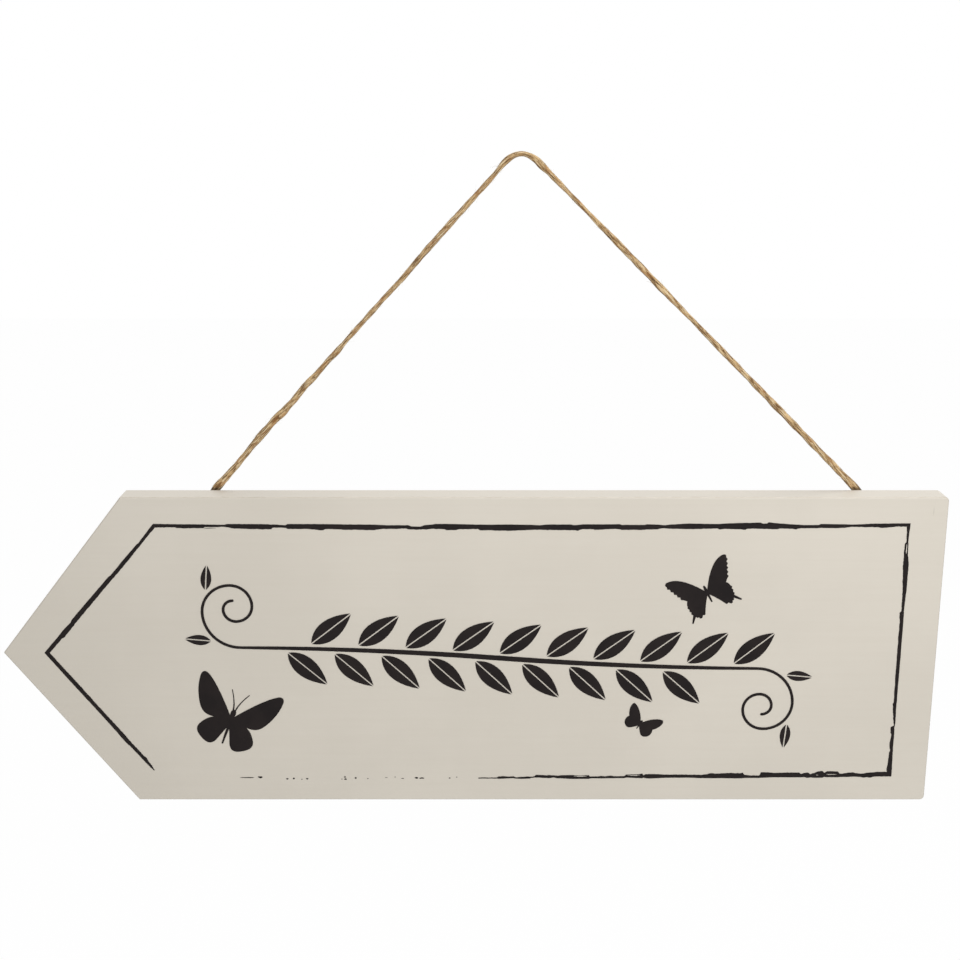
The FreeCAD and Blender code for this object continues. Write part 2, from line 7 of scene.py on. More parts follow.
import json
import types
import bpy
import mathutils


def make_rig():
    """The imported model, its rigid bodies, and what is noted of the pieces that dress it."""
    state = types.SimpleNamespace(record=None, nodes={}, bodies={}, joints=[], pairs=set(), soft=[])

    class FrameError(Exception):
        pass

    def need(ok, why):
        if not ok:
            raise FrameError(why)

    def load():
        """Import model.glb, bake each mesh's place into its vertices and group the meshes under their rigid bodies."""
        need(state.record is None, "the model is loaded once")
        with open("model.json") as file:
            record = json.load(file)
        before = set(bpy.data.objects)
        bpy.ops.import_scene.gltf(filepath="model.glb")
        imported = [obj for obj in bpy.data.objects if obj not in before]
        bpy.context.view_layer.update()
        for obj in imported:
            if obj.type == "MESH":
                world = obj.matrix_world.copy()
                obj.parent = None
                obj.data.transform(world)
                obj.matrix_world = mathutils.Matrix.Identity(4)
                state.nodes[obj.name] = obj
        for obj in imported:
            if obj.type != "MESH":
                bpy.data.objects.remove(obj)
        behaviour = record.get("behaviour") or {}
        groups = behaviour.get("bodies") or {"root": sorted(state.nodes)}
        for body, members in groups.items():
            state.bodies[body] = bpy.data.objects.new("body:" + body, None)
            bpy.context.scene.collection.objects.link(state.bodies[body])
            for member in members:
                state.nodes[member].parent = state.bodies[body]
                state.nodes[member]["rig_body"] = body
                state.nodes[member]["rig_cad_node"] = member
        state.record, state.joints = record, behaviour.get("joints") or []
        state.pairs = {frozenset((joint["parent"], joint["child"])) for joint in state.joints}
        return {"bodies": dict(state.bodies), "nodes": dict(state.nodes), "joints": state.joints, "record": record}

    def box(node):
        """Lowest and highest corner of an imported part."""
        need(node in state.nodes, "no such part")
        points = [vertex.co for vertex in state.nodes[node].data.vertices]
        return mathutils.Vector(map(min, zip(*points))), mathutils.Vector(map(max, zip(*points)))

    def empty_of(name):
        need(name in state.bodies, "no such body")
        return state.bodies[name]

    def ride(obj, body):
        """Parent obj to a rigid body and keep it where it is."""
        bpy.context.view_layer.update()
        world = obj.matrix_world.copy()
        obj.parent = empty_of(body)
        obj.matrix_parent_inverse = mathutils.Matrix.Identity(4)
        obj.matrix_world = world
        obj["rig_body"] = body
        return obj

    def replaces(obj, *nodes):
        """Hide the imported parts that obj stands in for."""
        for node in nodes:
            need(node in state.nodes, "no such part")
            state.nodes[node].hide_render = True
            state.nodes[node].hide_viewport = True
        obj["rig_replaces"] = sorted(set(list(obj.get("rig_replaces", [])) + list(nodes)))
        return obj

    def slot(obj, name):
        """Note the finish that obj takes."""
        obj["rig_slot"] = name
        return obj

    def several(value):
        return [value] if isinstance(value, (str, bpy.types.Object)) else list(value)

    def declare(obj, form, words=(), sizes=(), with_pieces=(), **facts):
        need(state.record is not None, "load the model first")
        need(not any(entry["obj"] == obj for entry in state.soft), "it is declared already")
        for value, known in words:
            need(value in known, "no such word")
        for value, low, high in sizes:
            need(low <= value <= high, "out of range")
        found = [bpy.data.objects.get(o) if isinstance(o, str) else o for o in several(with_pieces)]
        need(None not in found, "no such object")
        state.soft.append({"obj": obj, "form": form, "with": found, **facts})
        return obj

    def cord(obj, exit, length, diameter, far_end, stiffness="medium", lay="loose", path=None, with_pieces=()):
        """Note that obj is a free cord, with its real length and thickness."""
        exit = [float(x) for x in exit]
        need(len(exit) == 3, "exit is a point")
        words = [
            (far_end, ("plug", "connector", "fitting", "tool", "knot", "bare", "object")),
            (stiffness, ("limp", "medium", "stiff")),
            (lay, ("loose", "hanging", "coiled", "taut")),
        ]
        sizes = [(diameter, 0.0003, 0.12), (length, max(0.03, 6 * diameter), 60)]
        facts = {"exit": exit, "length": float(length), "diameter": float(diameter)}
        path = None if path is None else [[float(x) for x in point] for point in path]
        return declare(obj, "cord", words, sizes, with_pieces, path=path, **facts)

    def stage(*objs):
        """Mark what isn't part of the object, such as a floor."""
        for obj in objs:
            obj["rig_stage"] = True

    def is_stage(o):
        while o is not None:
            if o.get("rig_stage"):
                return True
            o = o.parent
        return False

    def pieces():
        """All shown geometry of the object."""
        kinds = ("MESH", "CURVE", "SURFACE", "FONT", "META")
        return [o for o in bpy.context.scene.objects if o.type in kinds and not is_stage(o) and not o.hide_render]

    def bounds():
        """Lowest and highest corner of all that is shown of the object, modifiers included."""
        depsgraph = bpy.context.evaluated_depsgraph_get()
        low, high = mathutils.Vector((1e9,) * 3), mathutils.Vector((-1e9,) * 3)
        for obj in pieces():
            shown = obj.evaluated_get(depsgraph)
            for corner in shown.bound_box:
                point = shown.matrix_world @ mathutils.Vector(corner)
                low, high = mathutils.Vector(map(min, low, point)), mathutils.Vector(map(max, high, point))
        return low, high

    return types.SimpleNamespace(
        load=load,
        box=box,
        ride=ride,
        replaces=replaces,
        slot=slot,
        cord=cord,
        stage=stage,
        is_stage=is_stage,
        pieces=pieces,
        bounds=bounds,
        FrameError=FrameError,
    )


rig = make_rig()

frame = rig.load()

import bisect
import json
import math
import random

import bpy
from mathutils import Vector, noise

CAD_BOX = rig.bounds()
MM = 0.001
BACK = Vector((0.0, 1.0, 0.0))  # towards the wall

# Camera, fitted to the photograph
CAMERA_PLACE = (-0.0204, -0.734, 0.0221)
CAMERA_PITCH = 14.52  # degrees below the horizon
CAMERA_LENS = 53.32  # mm
CAMERA_SENSOR = 36.0  # mm wide

# Stage
FLOOR_DROP = 0.3  # below the board
FLOOR_SIZE = 8.0
FLOOR_WHITE = 0.985  # share of plain white in what the camera sees of the floor
WHITE = (1.0, 1.0, 1.0, 1.0)
AMBIENT = 0.4  # strength of the even light from all round
LIGHT_AIM = (0.0, 0.0, -0.2)
LIGHTS = (  # name, place, side of the square lamp, watts
    ("key_light", (0.26, -0.78, 0.3), 0.3, 5.3),
    ("top_light", (0.3, 0.35, 1.2), 0.8, 7.6),
)

# Colours, as six hex digits
PAINT_WARM = "D7D0C4"
PAINT_PALE = "DBD4C8"
PAINT_GRAIN = "CFC6B8"
# eased edges: thinner worn paint, and painted shade against the lamps' highlight
PAINT_WORN_AND_SHADE = "B9AE9D"
PAINT_SCRATCH = "9C978C"
INK_DEEP = "181313"
INK_FADED = "241E1D"
INK_PINHOLE = "8F887E"
JUTE_BROWN = "805E37"
JUTE_GOLD = "D0B080"
JUTE_PALE = "F0DFBB"
JUTE_DARK = "452E17"
JUTE_RUST = "A8703C"
JUTE_SHADE = "35260F"
WIRE_DULL = "A9A9AB"
WIRE_BRIGHT = "D2D2D4"
FLOOR_PALE = "F4F4F2"

# Cord: its route in mm to the right and up, with a point on each straight leg near the hook
CORD_ROUTE = ((-192.3, -207.0), (-18.3, -14.2), (0.1, 6.7), (20.0, -13.1), (214.8, -207.0))
CORD_LENGTH = 0.585
CORD_DIAMETER = 0.0031
CORD_RESOLUTION = 64  # points read from each span of the spline
CORD_HALF_ROOM = 1.58 * MM  # half the room between the board's back and a staple's crown
PRESS_HEIGHT = 6 * MM  # above the board's top edge, where the cord starts to be pressed into that room
PRESS_LENGTH = 5 * MM  # down from there, until it is pressed fully
FOOT_BAND = (1.0 * MM, -0.6 * MM)  # from unshaded to full shade beside the board's top edge
FOOT_UNEVEN = 2.4 * MM  # by which noise moves that band
FOOT_SHADE = 0.75
RING_STEP = 0.5 * MM  # between the rings of points along the cord
RING_POINTS = 22
PLIES = 2
PLY_RADIUS = 1.32 * MM
PLY_OFFSET = 0.22 * MM  # from the cord's middle to a ply's middle
PLY_UNEVEN = 0.1  # share by which a ply's thickness wavers
PLY_UNEVEN_WAVE = 5 * MM
LAY = 30 * MM  # length of one full turn of a ply
LAY_DRIFT = 0.9  # radians by which the turn strays
LAY_DRIFT_WAVE = 40 * MM
WIDTH_MARKS = (  # distance along the cord to the right of the hook and the cord's width there, in mm
    (-243, 3.3), (-238, 4.7), (-232, 4.0), (-218, 3.4), (-206, 3.7), (-196, 4.1), (-186, 4.1), (-170, 3.5),
    (-162, 3.8), (-154, 3.1), (-138, 3.1), (-130, 2.4), (-120, 2.9), (-98, 2.6), (-90, 3.0), (-82, 2.95),
    (-74, 3.4), (-66, 3.2), (-50, 3.4), (-34, 2.9), (-18, 2.6), (-10, 3.4), (0, 2.7), (12, 3.9), (20, 3.0),
    (32, 2.5), (48, 2.3), (58, 3.0), (66, 3.4), (92, 3.3), (106, 3.7), (114, 2.75), (124, 2.5), (142, 3.35),
    (160, 2.95), (186, 3.5), (196, 3.7), (218, 3.5), (240, 3.9), (249, 4.35), (256, 3.3),
)
SWAY_MARKS = (  # distance to the right of the hook and how far the plies stand above the line there, in mm
    (-224, 0.0), (-215, 0.2), (-207, 0.65), (-198, 0.8), (-190, 0.85), (-181, 0.25), (-173, 0.2), (-164, 0.7),
    (-156, 0.3), (-147, 0.4), (-139, 0.1), (-130, 0.35), (-105, 0.2), (-88, -0.1), (-70, 0.2), (-54, 0.15),
    (-40, 0.0), (-20, -0.25), (-8, 0.0),
)
END_TAPER = 5 * MM
END_SIZE = 0.75  # a ply's thickness at the cord's ends, over its usual one

# Fibres in the plies: each place on them is round the ply and along it
FIBRE_TWIST = 1.3  # turns of the fibres back against one turn of the lay
FIBRE_UNIT = 9 * MM  # of the cord for one unit along
RIDGES = (  # height over the ply's radius, fineness round and along, and the step between the plies' places
    (0.1, 1.3, 1.3, 11),
    (0.09, 3.6, 0.9, 23),
)
STREAK_PLY_STEP = 31  # between the plies' places along, so that their streaks differ

# Loose fibres: the ranges that each one draws from, with lengths and curls in mm
SEED = 7
STRAY_FIBRES = 420
STRAY_MARGIN = 20  # rings at each end of the cord that have none
STRAY_ROOT = 0.9  # share of a ply's radius at which they start
STRAY_ANGLE = (-1.9, 1.9)  # radians round a ply from its outer side
STRAY_LIFT = (0.05, 0.4)  # slope away from the ply
STRAY_SLANT = (-0.4, 0.4)  # slope to one side
STRAY_LENGTH = (1.5, 4.5)
STRAY_CURL = (-0.4, 0.9)
FRAYED_FIBRES = 70  # at each end
FRAYED_RING = 2  # counted from the cord's end, where they start
FRAYED_FLATNESS = 0.6  # depth of a tuft over its height
FRAYED_ROOT = (0.1, 0.9)  # mm from the cord's middle
FRAYED_LIFT = (0.0, 0.35)  # slope away from the cord's line
FRAYED_LENGTH = (2.5, 6.5)
FRAYED_CURL = (-0.3, 0.5)
FIBRE_RADIUS = 0.045 * MM
FIBRE_THINNING = 0.7  # share of its radius that a fibre loses towards its tip
FIBRE_STEPS = 6
FIBRE_SIDES = 3
FIBRE_STREAK = 30  # points of a loose fibre for one unit along

# Border: places on the front in mm from the board's edges, as on the part
BORDER_TOP_INSET = 15.5
BORDER_BOTTOM_INSET = 14.0
BORDER_END_INSET = 20.2
BORDER_TIP_INSET = 23.0
BORDER_SHOULDER_INSET = 16.8  # right of the left shoulder
BORDER_BOTTOM_START = 187.3  # right of the left shoulder
BORDER_LEG_GAP = 3.8  # from the bottom run's level up to the lower leg's loose end
TIP_LENGTH = 68.0  # from the board's tip to its left shoulder
INK_FILM = 0.12 * MM  # thickness of the ink
# How far the runs of the print leave the level, in mm
TOP_END_RISE = 0.5
BOTTOM_END_RISE = 1.3
BOTTOM_START_DROP = 0.5
BRUSH_STEP = 0.45  # mm between the points of a brush line's edges
BRUSH_FADE = 3.0  # mm from a corner within which the edges turn even
RAGGED = ((0.1, 2.7), (0.1, 0.9))  # height and wavelength of the edges' unevenness, in mm
RAGGED_OUTER = 0.6  # share of that unevenness on the outer edge
RAGGED_INNER = 1.4  # and on the inner edge
INK_SPREAD = 0.16  # mm by which the ink runs past the marks on each side
THINNEST_LINE = 0.05  # mm
RUN_STEP = 3.7  # between the runs' places in the noise, so that their edges differ
RIBBON_SIDES = 4

# Brush marks: distance along the run, then the line's edge outside and inside its middle, in mm
TOP_MARKS = (
    (0, 0.85, 0.85), (11, 0.65, 0.7), (12, 0.65, 1.2), (26, 0.55, 1.2), (26.8, 0.45, 0.6), (37, 0.3, 0.6),
    (38.5, 0.7, 0.75), (42, 0.75, 1.4), (59.5, 0.6, 1.9), (61.8, 0.4, 1.85), (62.6, 0.5, 1.0),
    (69.5, 0.05, 1.0), (70.5, 0.7, 1.65), (80, 0.65, 1.7), (89.3, 0.65, 2.35), (90.2, 0.6, 1.7),
    (104, 0.4, 2.25), (115, 0.3, 2.35), (121.5, 0.05, 1.7), (123, -0.05, 1.75), (133.2, -0.05, 1.5),
    (133.9, -0.05, 2.05), (136, -0.75, 2.05), (140.2, -0.8, 2.1), (143, 0.0, 2.0), (147.1, 0.35, 1.7),
    (148.2, 0.65, 1.75), (153.2, 0.65, 1.9), (154.2, 0.6, 2.4), (159.3, 0.55, 2.4), (160.5, 0.5, 2.0),
    (171, 0.2, 1.8), (171.8, 0.2, 2.5), (186.3, 0.25, 2.8), (199.4, 0.1, 2.4), (202.9, -0.15, 2.35),
    (208.1, 0.25, 2.35), (219.4, 0.2, 2.5), (222, -0.1, 2.6), (223.6, 0.0, 2.9), (224.7, 0.15, 2.3),
    (226.4, 0.3, 2.0), (231.4, 0.3, 2.0), (232.4, 0.3, 2.4), (243, 0.3, 1.9), (245.5, 0.35, 2.1),
    (246.8, 0.0, 2.4), (258.6, 0.0, 2.4), (260.3, 0.3, 2.1), (265, 0.2, 2.1), (269, -0.2, 1.55),
    (273, 0.2, 1.75), (281.8, 0.65, 2.0), (297.2, 0.4, 1.75), (298.1, 0.4, 2.3), (300.8, 0.65, 1.85),
    (308, 0.9, 2.2), (311.7, 1.0, 2.5), (312.8, 1.0, 1.85), (319.6, 1.2, 1.9), (321, 0.6, 1.9),
    (323.2, 0.6, 1.9), (324, 1.3, 2.0), (328.6, 0.8, 2.15), (330.6, 0.6, 1.8), (336, 0.2, 1.9),
    (338.7, 0.0, 2.2), (339.7, 0.0, 1.8), (342.4, -0.25, 1.6), (350.5, -0.2, 1.6), (351.5, 0.35, 1.55),
    (362.3, 0.2, 1.6), (368.6, 0.05, 0.95), (382.2, 0.55, 1.15), (382.9, 0.55, 1.45), (394, 0.65, 0.8),
    (398, 0.65, 0.85),
)
RIGHT_MARKS = (
    (0, 0.65, 0.85), (6, 0.3, 0.7), (9.2, 0.15, 0.45), (10.5, 0.4, 1.3), (16.5, 0.5, 1.35), (18, 0.9, 1.3),
    (22, 1.35, 1.4), (29, 1.3, 0.95), (34, 1.3, 0.6), (39, 1.15, 0.4), (41, 1.0, 0.35), (47.5, 0.75, 0.25),
    (48.6, 0.85, 1.2), (51.3, 0.85, 1.1), (52, 0.9, 0.85), (58, 0.9, 0.75), (63, 0.9, 0.95),
    (65.6, 0.9, 0.75), (84, 0.85, 0.8), (92, 0.75, 0.65), (99.6, 0.8, 0.55), (100.4, 0.7, 1.05),
    (103, 0.7, 0.8), (108, 0.85, 0.2), (111.6, 0.95, -0.2), (113, 0.8, -0.65), (114, 0.6, 1.1),
    (117.4, 0.7, 1.1), (118, 0.8, 0.5), (123.7, 0.7, 1.0), (126.3, 0.7, 0.9), (128, 0.8, 0.45),
    (128.8, 0.75, 0.95), (134.3, 0.9, 1.1), (139, 1.0, 1.65), (142, 1.0, 1.35),
)
BOTTOM_MARKS = (
    (0, 1.0, 1.35), (3, 1.0, 1.6), (8, 1.0, 1.4), (10.8, 1.6, 1.2), (12.4, 1.3, 1.05), (14, 1.6, 0.7),
    (16, 1.2, 0.45), (18.7, 0.95, 0.8), (20.3, 0.95, 1.3), (24, 1.1, 0.95), (27.3, 1.1, 0.5),
    (28.5, 1.2, 1.9), (34.5, 1.2, 2.1), (35.8, 1.0, 1.2), (37, 1.5, 2.3), (39, 1.45, 2.0), (42, 1.45, 0.95),
    (43.4, 1.25, 0.45), (45, 1.45, 1.3), (47, 1.0, 1.05), (48.7, 1.1, 0.5), (49.8, 1.1, 1.4),
    (63.4, 1.0, 1.45), (70.8, 1.2, 1.75), (71.6, 1.3, -0.1), (76.6, 1.3, -0.1), (80, 1.3, 0.2),
    (80.8, 1.4, 1.6), (82, 1.5, 1.2), (88, 1.35, 1.4), (95.7, 1.3, 1.15), (98.3, 1.3, 1.4),
    (101, 1.2, 0.85), (104, 1.15, 0.5), (111.5, 0.85, 0.6), (122, 0.8, 0.75), (132.5, 1.2, 1.15),
    (134.7, 1.0, 0.95), (135.4, 0.6, 0.4), (136.2, 0.95, 1.45), (138.5, 0.85, 1.05), (145, 0.5, 0.95),
    (146, 0.8, 0.05), (151, 0.8, -0.05), (153.6, 0.85, 0.3), (156.5, 0.85, 0.0), (158.7, 0.9, 0.25),
    (160.5, 0.85, -0.05), (165, 0.85, -0.05), (165.8, 1.1, 0.8), (167.5, 1.1, 0.6), (173, 1.05, 0.6),
    (174.8, 1.05, 0.95), (183, 0.6, 0.8), (185, 0.15, 0.8), (187, 0.5, 0.95), (194.7, 0.1, 1.2),
    (195.6, 0.1, 0.4), (197.2, 0.25, 0.1), (198.2, 0.7, 0.1), (203, 0.8, 0.0), (206, 0.65, -0.15),
    (207.3, 0.4, 0.4), (213, 0.6, 0.45), (215.5, 0.7, 0.35), (216.3, 0.5, -0.2), (226.5, 0.45, -0.25),
)
UPPER_LEG_MARKS = (
    (0, 0.75, 1.15), (11.5, 0.75, 1.2), (13.2, 0.8, 1.8), (15.5, 0.9, 1.75), (22.2, 0.55, 1.55),
    (23.4, 0.95, 1.35), (31.7, 1.0, 1.35), (49, 0.85, 1.3), (55.3, 0.85, 1.25), (56.6, 0.45, 1.3),
    (62, 0.45, 1.35), (66.6, 0.6, 1.35), (79, 0.5, 1.05), (80.2, 0.2, 1.0), (84, 0.45, 0.9),
    (93, 0.85, 0.85),
)
LOWER_LEG_MARKS = (
    (0, 0.05, 0.05), (4, 0.35, 0.75), (8.3, 0.5, 1.3), (9.5, 0.5, 1.05), (19, 0.65, 1.05), (20, 1.0, 1.0),
    (24.6, 1.05, 1.05), (30, 0.8, 1.1), (47, 0.75, 1.1), (65, 0.85, 1.25), (74, 0.8, 1.1),
    (86, 0.75, 1.15),
)
# Dry slits in order along a run: start, end and place across the line, in mm
RIGHT_SLITS = ((10, 16.6, -0.25),)
BOTTOM_SLITS = ((28.5, 35.5, -0.3), (38.8, 40.6, 0.0), (136.5, 145, -0.6), (166, 174.5, -0.3))
SLIT_HALF_WIDTH = 0.34  # mm in the middle of a slit that is fully open
SLIT_OPENING = 0.7  # share of that width on average
SLIT_UNEVEN = 0.6  # share by which it varies
RUNS = (  # marks and slits of the runs, clockwise from the lower leg's loose end
    (LOWER_LEG_MARKS, ()),
    (UPPER_LEG_MARKS, ()),
    (TOP_MARKS, ()),
    (RIGHT_MARKS, RIGHT_SLITS),
    (BOTTOM_MARKS, BOTTOM_SLITS),
)
# Dry specks: their middle right of the left shoulder and above mid-height, length and height, in mm
SPECKS = (
    (46.2, 69.9, 6.4, 0.26), (59.9, -73.3, 7.8, 0.45), (67.1, -73.1, 2.7, 1.0), (82.0, -74.0, 1.3, 0.7),
    (85.6, -73.8, 1.1, 1), (90.0, -74.3, 0.7, 0.4), (93.0, -74.0, 1.3, 0.7), (112.1, -74.2, 0.6, 0.4),
    (113.8, -72.9, 1.1, 0.8), (114.1, -74.2, 1.4, 0.9), (119.7, -73.5, 1.1, 1), (126.4, -73.9, 0.8, 0.3),
    (136.5, -73.3, 1.5, 0.14), (141.4, -73.0, 0.6, 0.4), (145.5, -73.8, 1.6, 0.3), (153.2, -73.4, 2, 0.9),
    (156.1, -73.6, 2.8, 0.6), (171.5, -73.6, 1, 0.6), (175.4, -73.0, 0.6, 0.4),
)
SPECK_STEPS = 8
SPECK_UNEVEN = 0.5  # share by which a speck's height varies along it
SPECK_SWAY = 0.25  # share of its height by which its middle strays
SPECK_END = 0.01  # mm, half the height at its two ends

# Marks on the paint: place right of the left shoulder and above mid-height, half sizes in mm, and strength
PAINT_MARKS = ((426.1, 79.1, 0.3, 3.4, 0.36), (45.1, -81.0, 0.3, 0.9, 0.3))

BOARD_LOW, BOARD_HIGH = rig.box("board")
SHOULDER_X = BOARD_LOW.x + TIP_LENGTH * MM
MIDDLE_Z = (BOARD_LOW.z + BOARD_HIGH.z) / 2
FRONT_Y = BOARD_LOW.y


# Materials


def linear(colour):
    """The linear value of a colour written as six hex digits."""
    shares = [int(colour[i:i + 2], 16) / 255 for i in (0, 2, 4)]
    return tuple(c / 12.92 if c <= 0.04045 else ((c + 0.055) / 1.055) ** 2.4 for c in shares) + (1.0,)


def plug(tree, socket, value):
    """Gives a socket its value, or links it to the socket that feeds it."""
    if isinstance(value, bpy.types.NodeSocket):
        tree.links.new(value, socket)
    else:
        socket.default_value = value


def set_inputs(tree, made, **inputs):
    """Gives a node's sockets their values or what feeds them."""
    for name, value in inputs.items():
        plug(tree, made.inputs[name.replace("_", " ")], value)


def node(tree, kind, settings=None, **inputs):
    """Adds a node. Settings are its own properties, and inputs are its sockets' values or what feeds them."""
    made = tree.nodes.new("ShaderNode" + kind)
    for name, value in (settings or {}).items():
        setattr(made, name, value)
    set_inputs(tree, made, **inputs)
    return made


def maths(tree, operation, *values):
    """The result of one operation on numbers or sockets."""
    made = node(tree, "Math", {"operation": operation})
    for socket, value in zip(made.inputs, values):
        plug(tree, socket, value)
    return made.outputs["Value"]


def stretched(tree, coordinates, scale):
    """Coordinates times a scale for each axis."""
    return node(tree, "Mapping", Vector=coordinates, Scale=scale).outputs["Vector"]


def noise_value(tree, coordinates, scale=1.0, detail=3.0):
    """Cloudy noise about 0.5 at the coordinates."""
    made = node(tree, "TexNoise", Vector=coordinates, Scale=scale, Detail=detail, Roughness=0.6)
    return made.outputs["Fac"]


def between(tree, value, span, reach=(0.0, 1.0)):
    """Turns a value that runs over a span smoothly into one that runs over a reach."""
    limits = {"From_Min": span[0], "From_Max": span[1], "To_Min": reach[0], "To_Max": reach[1]}
    made = node(tree, "MapRange", {"interpolation_type": "SMOOTHSTEP"}, Value=value, **limits)
    return made.outputs["Result"]


def mixed(tree, share, first, second):
    """The colour at a share of the way from the first to the second."""
    made = node(tree, "Mix", {"data_type": "RGBA"}, Factor=share, A=first, B=second)
    return made.outputs["Result"]


def bumped(tree, height, distance, strength=1.0):
    """The normal of a surface that is raised by a height times a distance."""
    made = node(tree, "Bump", Height=height, Distance=distance, Strength=strength)
    return made.outputs["Normal"]


def new_material(name):
    """A new material, with its tree of nodes and its surface."""
    material = bpy.data.materials.new(name)
    material.use_nodes = True
    tree = material.node_tree
    return material, tree, tree.nodes["Principled BSDF"]


def painted_wood():
    """Satin off-white paint, rolled along the board, darker on the eased edges: thinner paint there, and painted shade
    that damps the lamps' highlight along them.
    """
    material, tree, surface = new_material("painted_wood")
    coordinates = node(tree, "TexCoord")
    place = coordinates.outputs["Object"]
    clouds = noise_value(tree, place, scale=9.0, detail=4.0)
    grain = noise_value(tree, stretched(tree, place, (14, 60, 420)), detail=4.0)
    speckle = noise_value(tree, place, scale=1500.0, detail=2.0)
    colour = mixed(tree, between(tree, clouds, (0.35, 0.65)), linear(PAINT_WARM), linear(PAINT_PALE))
    colour = mixed(tree, between(tree, grain, (0.3, 0.75), (0.0, 0.14)), colour, linear(PAINT_GRAIN))
    # Painted shade on the eased edges, which face the lamps at a slant, with some worn thin paint: darkened on every
    # rounding
    towards_wall = node(tree, "SeparateXYZ", Vector=coordinates.outputs["Normal"]).outputs["Y"]
    facing = maths(tree, "ABSOLUTE", towards_wall)
    slanting = maths(tree, "MULTIPLY", facing, maths(tree, "SUBTRACT", 1.0, facing))
    rounding = maths(tree, "MULTIPLY", slanting, 4.0)
    wear_and_shade = between(tree, noise_value(tree, place, scale=160.0), (0.4, 0.7), (0.35, 0.65))
    colour = mixed(tree, maths(tree, "MULTIPLY", rounding, wear_and_shade), colour, linear(PAINT_WORN_AND_SHADE))
    for mark in PAINT_MARKS:
        colour = mixed(tree, paint_mark(tree, place, *mark), colour, linear(PAINT_SCRATCH))
    roughness = between(tree, clouds, (0.3, 0.7), (0.46, 0.56))
    height = maths(tree, "ADD", maths(tree, "MULTIPLY", grain, 0.7), maths(tree, "MULTIPLY", speckle, 0.3))
    normal = bumped(tree, height, distance=0.06 * MM)
    set_inputs(tree, surface, Base_Color=colour, Roughness=roughness, Normal=normal)
    return material


def paint_mark(tree, place, right, up, half_width, half_height, strength):
    """How much of a small upright scratch lies at a place of the front."""
    middle = (SHOULDER_X + right * MM, FRONT_Y, MIDDLE_Z + up * MM)
    moved = node(tree, "VectorMath", {"operation": "SUBTRACT"})
    plug(tree, moved.inputs[0], place)
    plug(tree, moved.inputs[1], middle)
    sized = stretched(tree, moved.outputs["Vector"], (1 / (half_width * MM), 1 / MM, 1 / (half_height * MM)))
    distance = node(tree, "VectorMath", {"operation": "LENGTH"}, Vector=sized).outputs["Value"]
    return between(tree, distance, (0.2, 1.0), (strength, 0.0))


def black_ink():
    """Matt black print with pinholes through which the paint shows."""
    material, tree, surface = new_material("black_ink")
    place = node(tree, "TexCoord").outputs["Object"]
    clouds = noise_value(tree, place, scale=60.0)
    pinholes = between(tree, noise_value(tree, place, scale=900.0, detail=1.0), (0.76, 0.84), (0.0, 0.3))
    colour = mixed(tree, between(tree, clouds, (0.3, 0.7)), linear(INK_DEEP), linear(INK_FADED))
    colour = mixed(tree, pinholes, colour, linear(INK_PINHOLE))
    roughness = between(tree, clouds, (0.3, 0.7), (0.55, 0.68))
    normal = bumped(tree, noise_value(tree, place, scale=1200.0), distance=0.02 * MM)
    set_inputs(tree, surface, Base_Color=colour, Roughness=roughness, Specular_IOR_Level=0.15, Normal=normal)
    return material


def jute():
    """Golden-brown fibres along the plies, streaked light and dark."""
    material, tree, surface = new_material("jute")
    fibre = node(tree, "Attribute", {"attribute_name": "fibre"}).outputs["Vector"]
    streaks = noise_value(tree, stretched(tree, fibre, (1.6, 1.6, 1.7)), detail=4.0)
    threads = noise_value(tree, stretched(tree, fibre, (3.6, 3.6, 1.1)), detail=3.0)
    patches = noise_value(tree, stretched(tree, fibre, (0.8, 0.8, 1.4)), detail=2.0)
    colour = mixed(tree, between(tree, streaks, (0.38, 0.62)), linear(JUTE_BROWN), linear(JUTE_GOLD))
    colour = mixed(tree, between(tree, threads, (0.52, 0.64), (0.0, 0.75)), colour, linear(JUTE_PALE))
    colour = mixed(tree, between(tree, threads, (0.47, 0.34), (0.0, 0.85)), colour, linear(JUTE_DARK))
    colour = mixed(tree, between(tree, patches, (0.52, 0.66), (0.0, 0.4)), colour, linear(JUTE_RUST))
    # painted shade where the cord goes behind the board's top edge
    colour = mixed(tree, foot_shade(tree), colour, linear(JUTE_SHADE))
    normal = bumped(tree, threads, distance=0.25 * MM, strength=0.8)
    set_inputs(tree, surface, Base_Color=colour, Roughness=0.82, Normal=normal)
    set_inputs(tree, surface, Specular_IOR_Level=0.3, Sheen_Weight=0.15)
    return material


def foot_shade(tree):
    """Painted shade: how dark the cord is in a narrow band where it goes behind the board's top edge."""
    place = node(tree, "TexCoord").outputs["Object"]
    height = node(tree, "SeparateXYZ", Vector=place).outputs["Z"]
    uneven = maths(tree, "MULTIPLY", noise_value(tree, place, scale=500.0), FOOT_UNEVEN)
    distance = maths(tree, "ABSOLUTE", maths(tree, "SUBTRACT", height, BOARD_HIGH.z))
    return between(tree, maths(tree, "SUBTRACT", distance, uneven), FOOT_BAND, (0.0, FOOT_SHADE))


def steel_wire():
    """Bright drawn wire with fine lines and a dull patch here and there."""
    material, tree, surface = new_material("steel_wire")
    place = node(tree, "TexCoord").outputs["Object"]
    lines = noise_value(tree, stretched(tree, place, (900, 5000, 900)))
    patches = noise_value(tree, place, scale=350.0)
    colour = mixed(tree, patches, linear(WIRE_DULL), linear(WIRE_BRIGHT))
    roughness = between(tree, lines, (0.3, 0.7), (0.24, 0.42))
    normal = bumped(tree, lines, distance=0.02 * MM)
    set_inputs(tree, surface, Base_Color=colour, Metallic=1.0, Roughness=roughness, Normal=normal)
    return material


# Shared by the cord and the border


def wobble(*place):
    """Smooth noise from -1 to 1. Fixed numbers in a place only keep one noise apart from another."""
    return noise.noise(Vector(place))


def smooth_step(value):
    """A value held between 0 and 1, with a soft start and a soft end."""
    share = min(max(value, 0.0), 1.0)
    return share * share * (3 - 2 * share)


